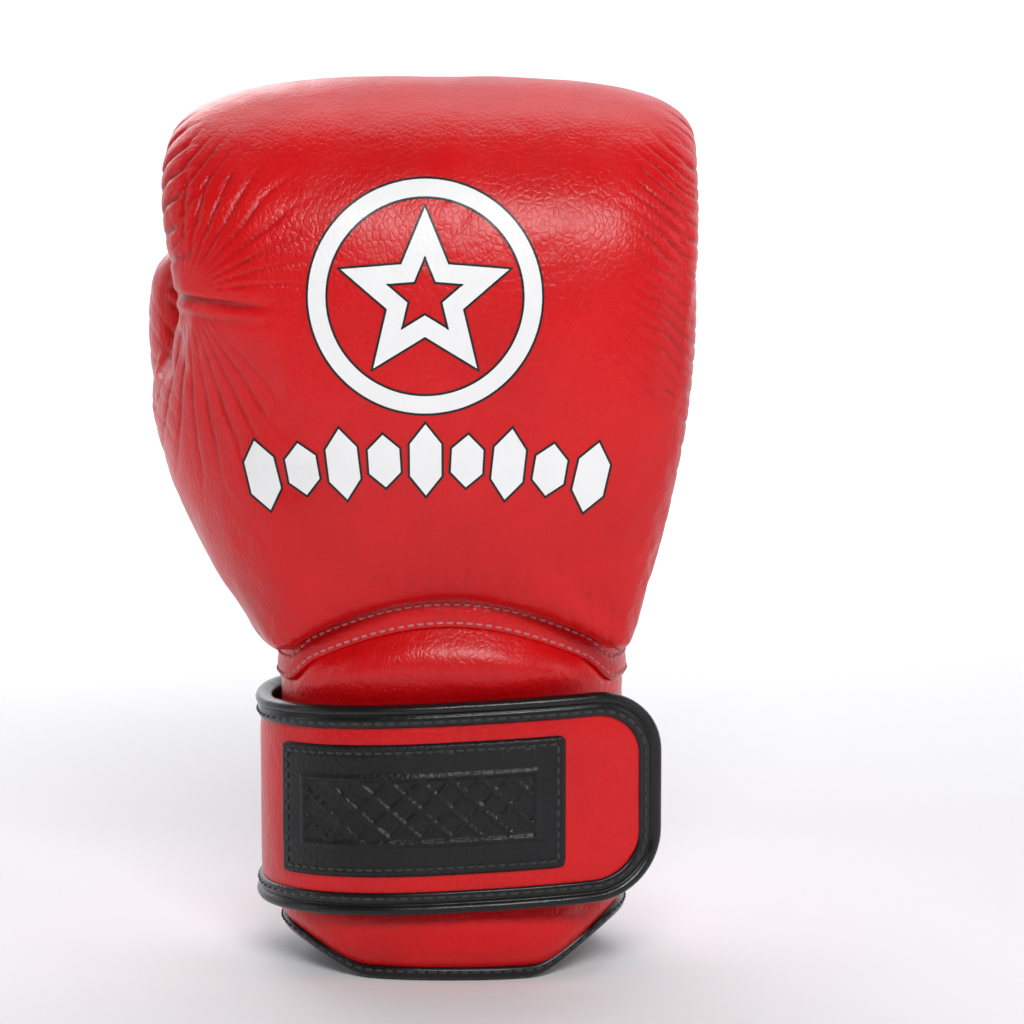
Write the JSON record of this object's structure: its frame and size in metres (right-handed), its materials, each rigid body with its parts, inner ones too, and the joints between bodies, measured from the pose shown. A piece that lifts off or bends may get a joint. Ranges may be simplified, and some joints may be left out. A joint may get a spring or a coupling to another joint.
{
  "type": "boxing glove",
  "caption": "Padded right-hand boxing glove with a curled fist, sewn-in thumb and a wrist strap that peels open, wraps back and closes by hook and loop.",
  "frame": {"origin": "centre of the glove's bounding box, on the plane that the wrist rim stands on", "axes": "+Z from the wrist rim to the knuckles, +Y to the palm, -Y to the back of the hand, -X to the thumb"},
  "size_m": [0.1861, 0.132, 0.299],
  "materials": {
    "red_leather": "semi-gloss fine-grained leather",
    "black_binding": "glossy edge tape and piping",
    "black_label": "satin grained leather",
    "lining_fabric": "matt woven lining",
    "foam": "closed-cell foam",
    "hook_tape": "moulded nylon hooks",
    "loop_tape": "brushed nylon loops",
    "badge_white": "satin"
  },
  "bodies": {
    "glove": {"fist_shell": "red_leather", "palm_panel": "red_leather", "thumb_shell": "red_leather", "thumb_tether": "red_leather", "wrist_welt": "red_leather", "cuff_shell": "red_leather", "strap_anchor": "red_leather", "rim_binding": "black_binding", "slot_binding": "black_binding", "strap_anchor_piping_top": "black_binding", "strap_anchor_piping_bottom": "black_binding", "hand_lining": "lining_fabric", "thumb_lining": "lining_fabric", "cuff_lining": "lining_fabric", "grip_bar": "lining_fabric", "slot_gusset": "lining_fabric", "knuckle_foam_outer": "foam", "knuckle_foam_inner": "foam", "finger_roll_foam": "foam", "thumb_foam": "foam", "cuff_foam": "foam", "loop_patch": "loop_tape"},
    "strap_palm_part": {"strap_palm": "red_leather", "strap_palm_piping_top": "black_binding", "strap_palm_piping_bottom": "black_binding", "round_badge": "badge_white"},
    "strap_side_part": {"strap_side": "red_leather", "strap_side_piping_top": "black_binding", "strap_side_piping_bottom": "black_binding"},
    "strap_tip_part": {"strap_tip": "red_leather", "strap_tip_piping": "black_binding", "hook_patch": "hook_tape", "label_patch": "black_label"}
  },
  "joints": [
    {"name": "strap_lift", "type": "hinge", "parent": "glove", "child": "strap_palm_part", "pos_m": [0.04437, 0.04498, 0.057], "axis": [0, 0, -1], "range_deg": [0, 72]},
    {"name": "strap_unwrap", "type": "hinge", "parent": "strap_palm_part", "child": "strap_side_part", "pos_m": [-0.03594, 0.03825, 0.057], "axis": [0, 0, -1], "range_deg": [0, 90]},
    {"name": "strap_peel", "type": "hinge", "parent": "strap_side_part", "child": "strap_tip_part", "pos_m": [-0.05269, -0.02308, 0.057], "axis": [0, 0, -1], "range_deg": [0, 110]}
  ],
  "couplings": [
    {"joint": "strap_lift", "follows": "strap_unwrap", "ratio": 0.8}
  ]
}
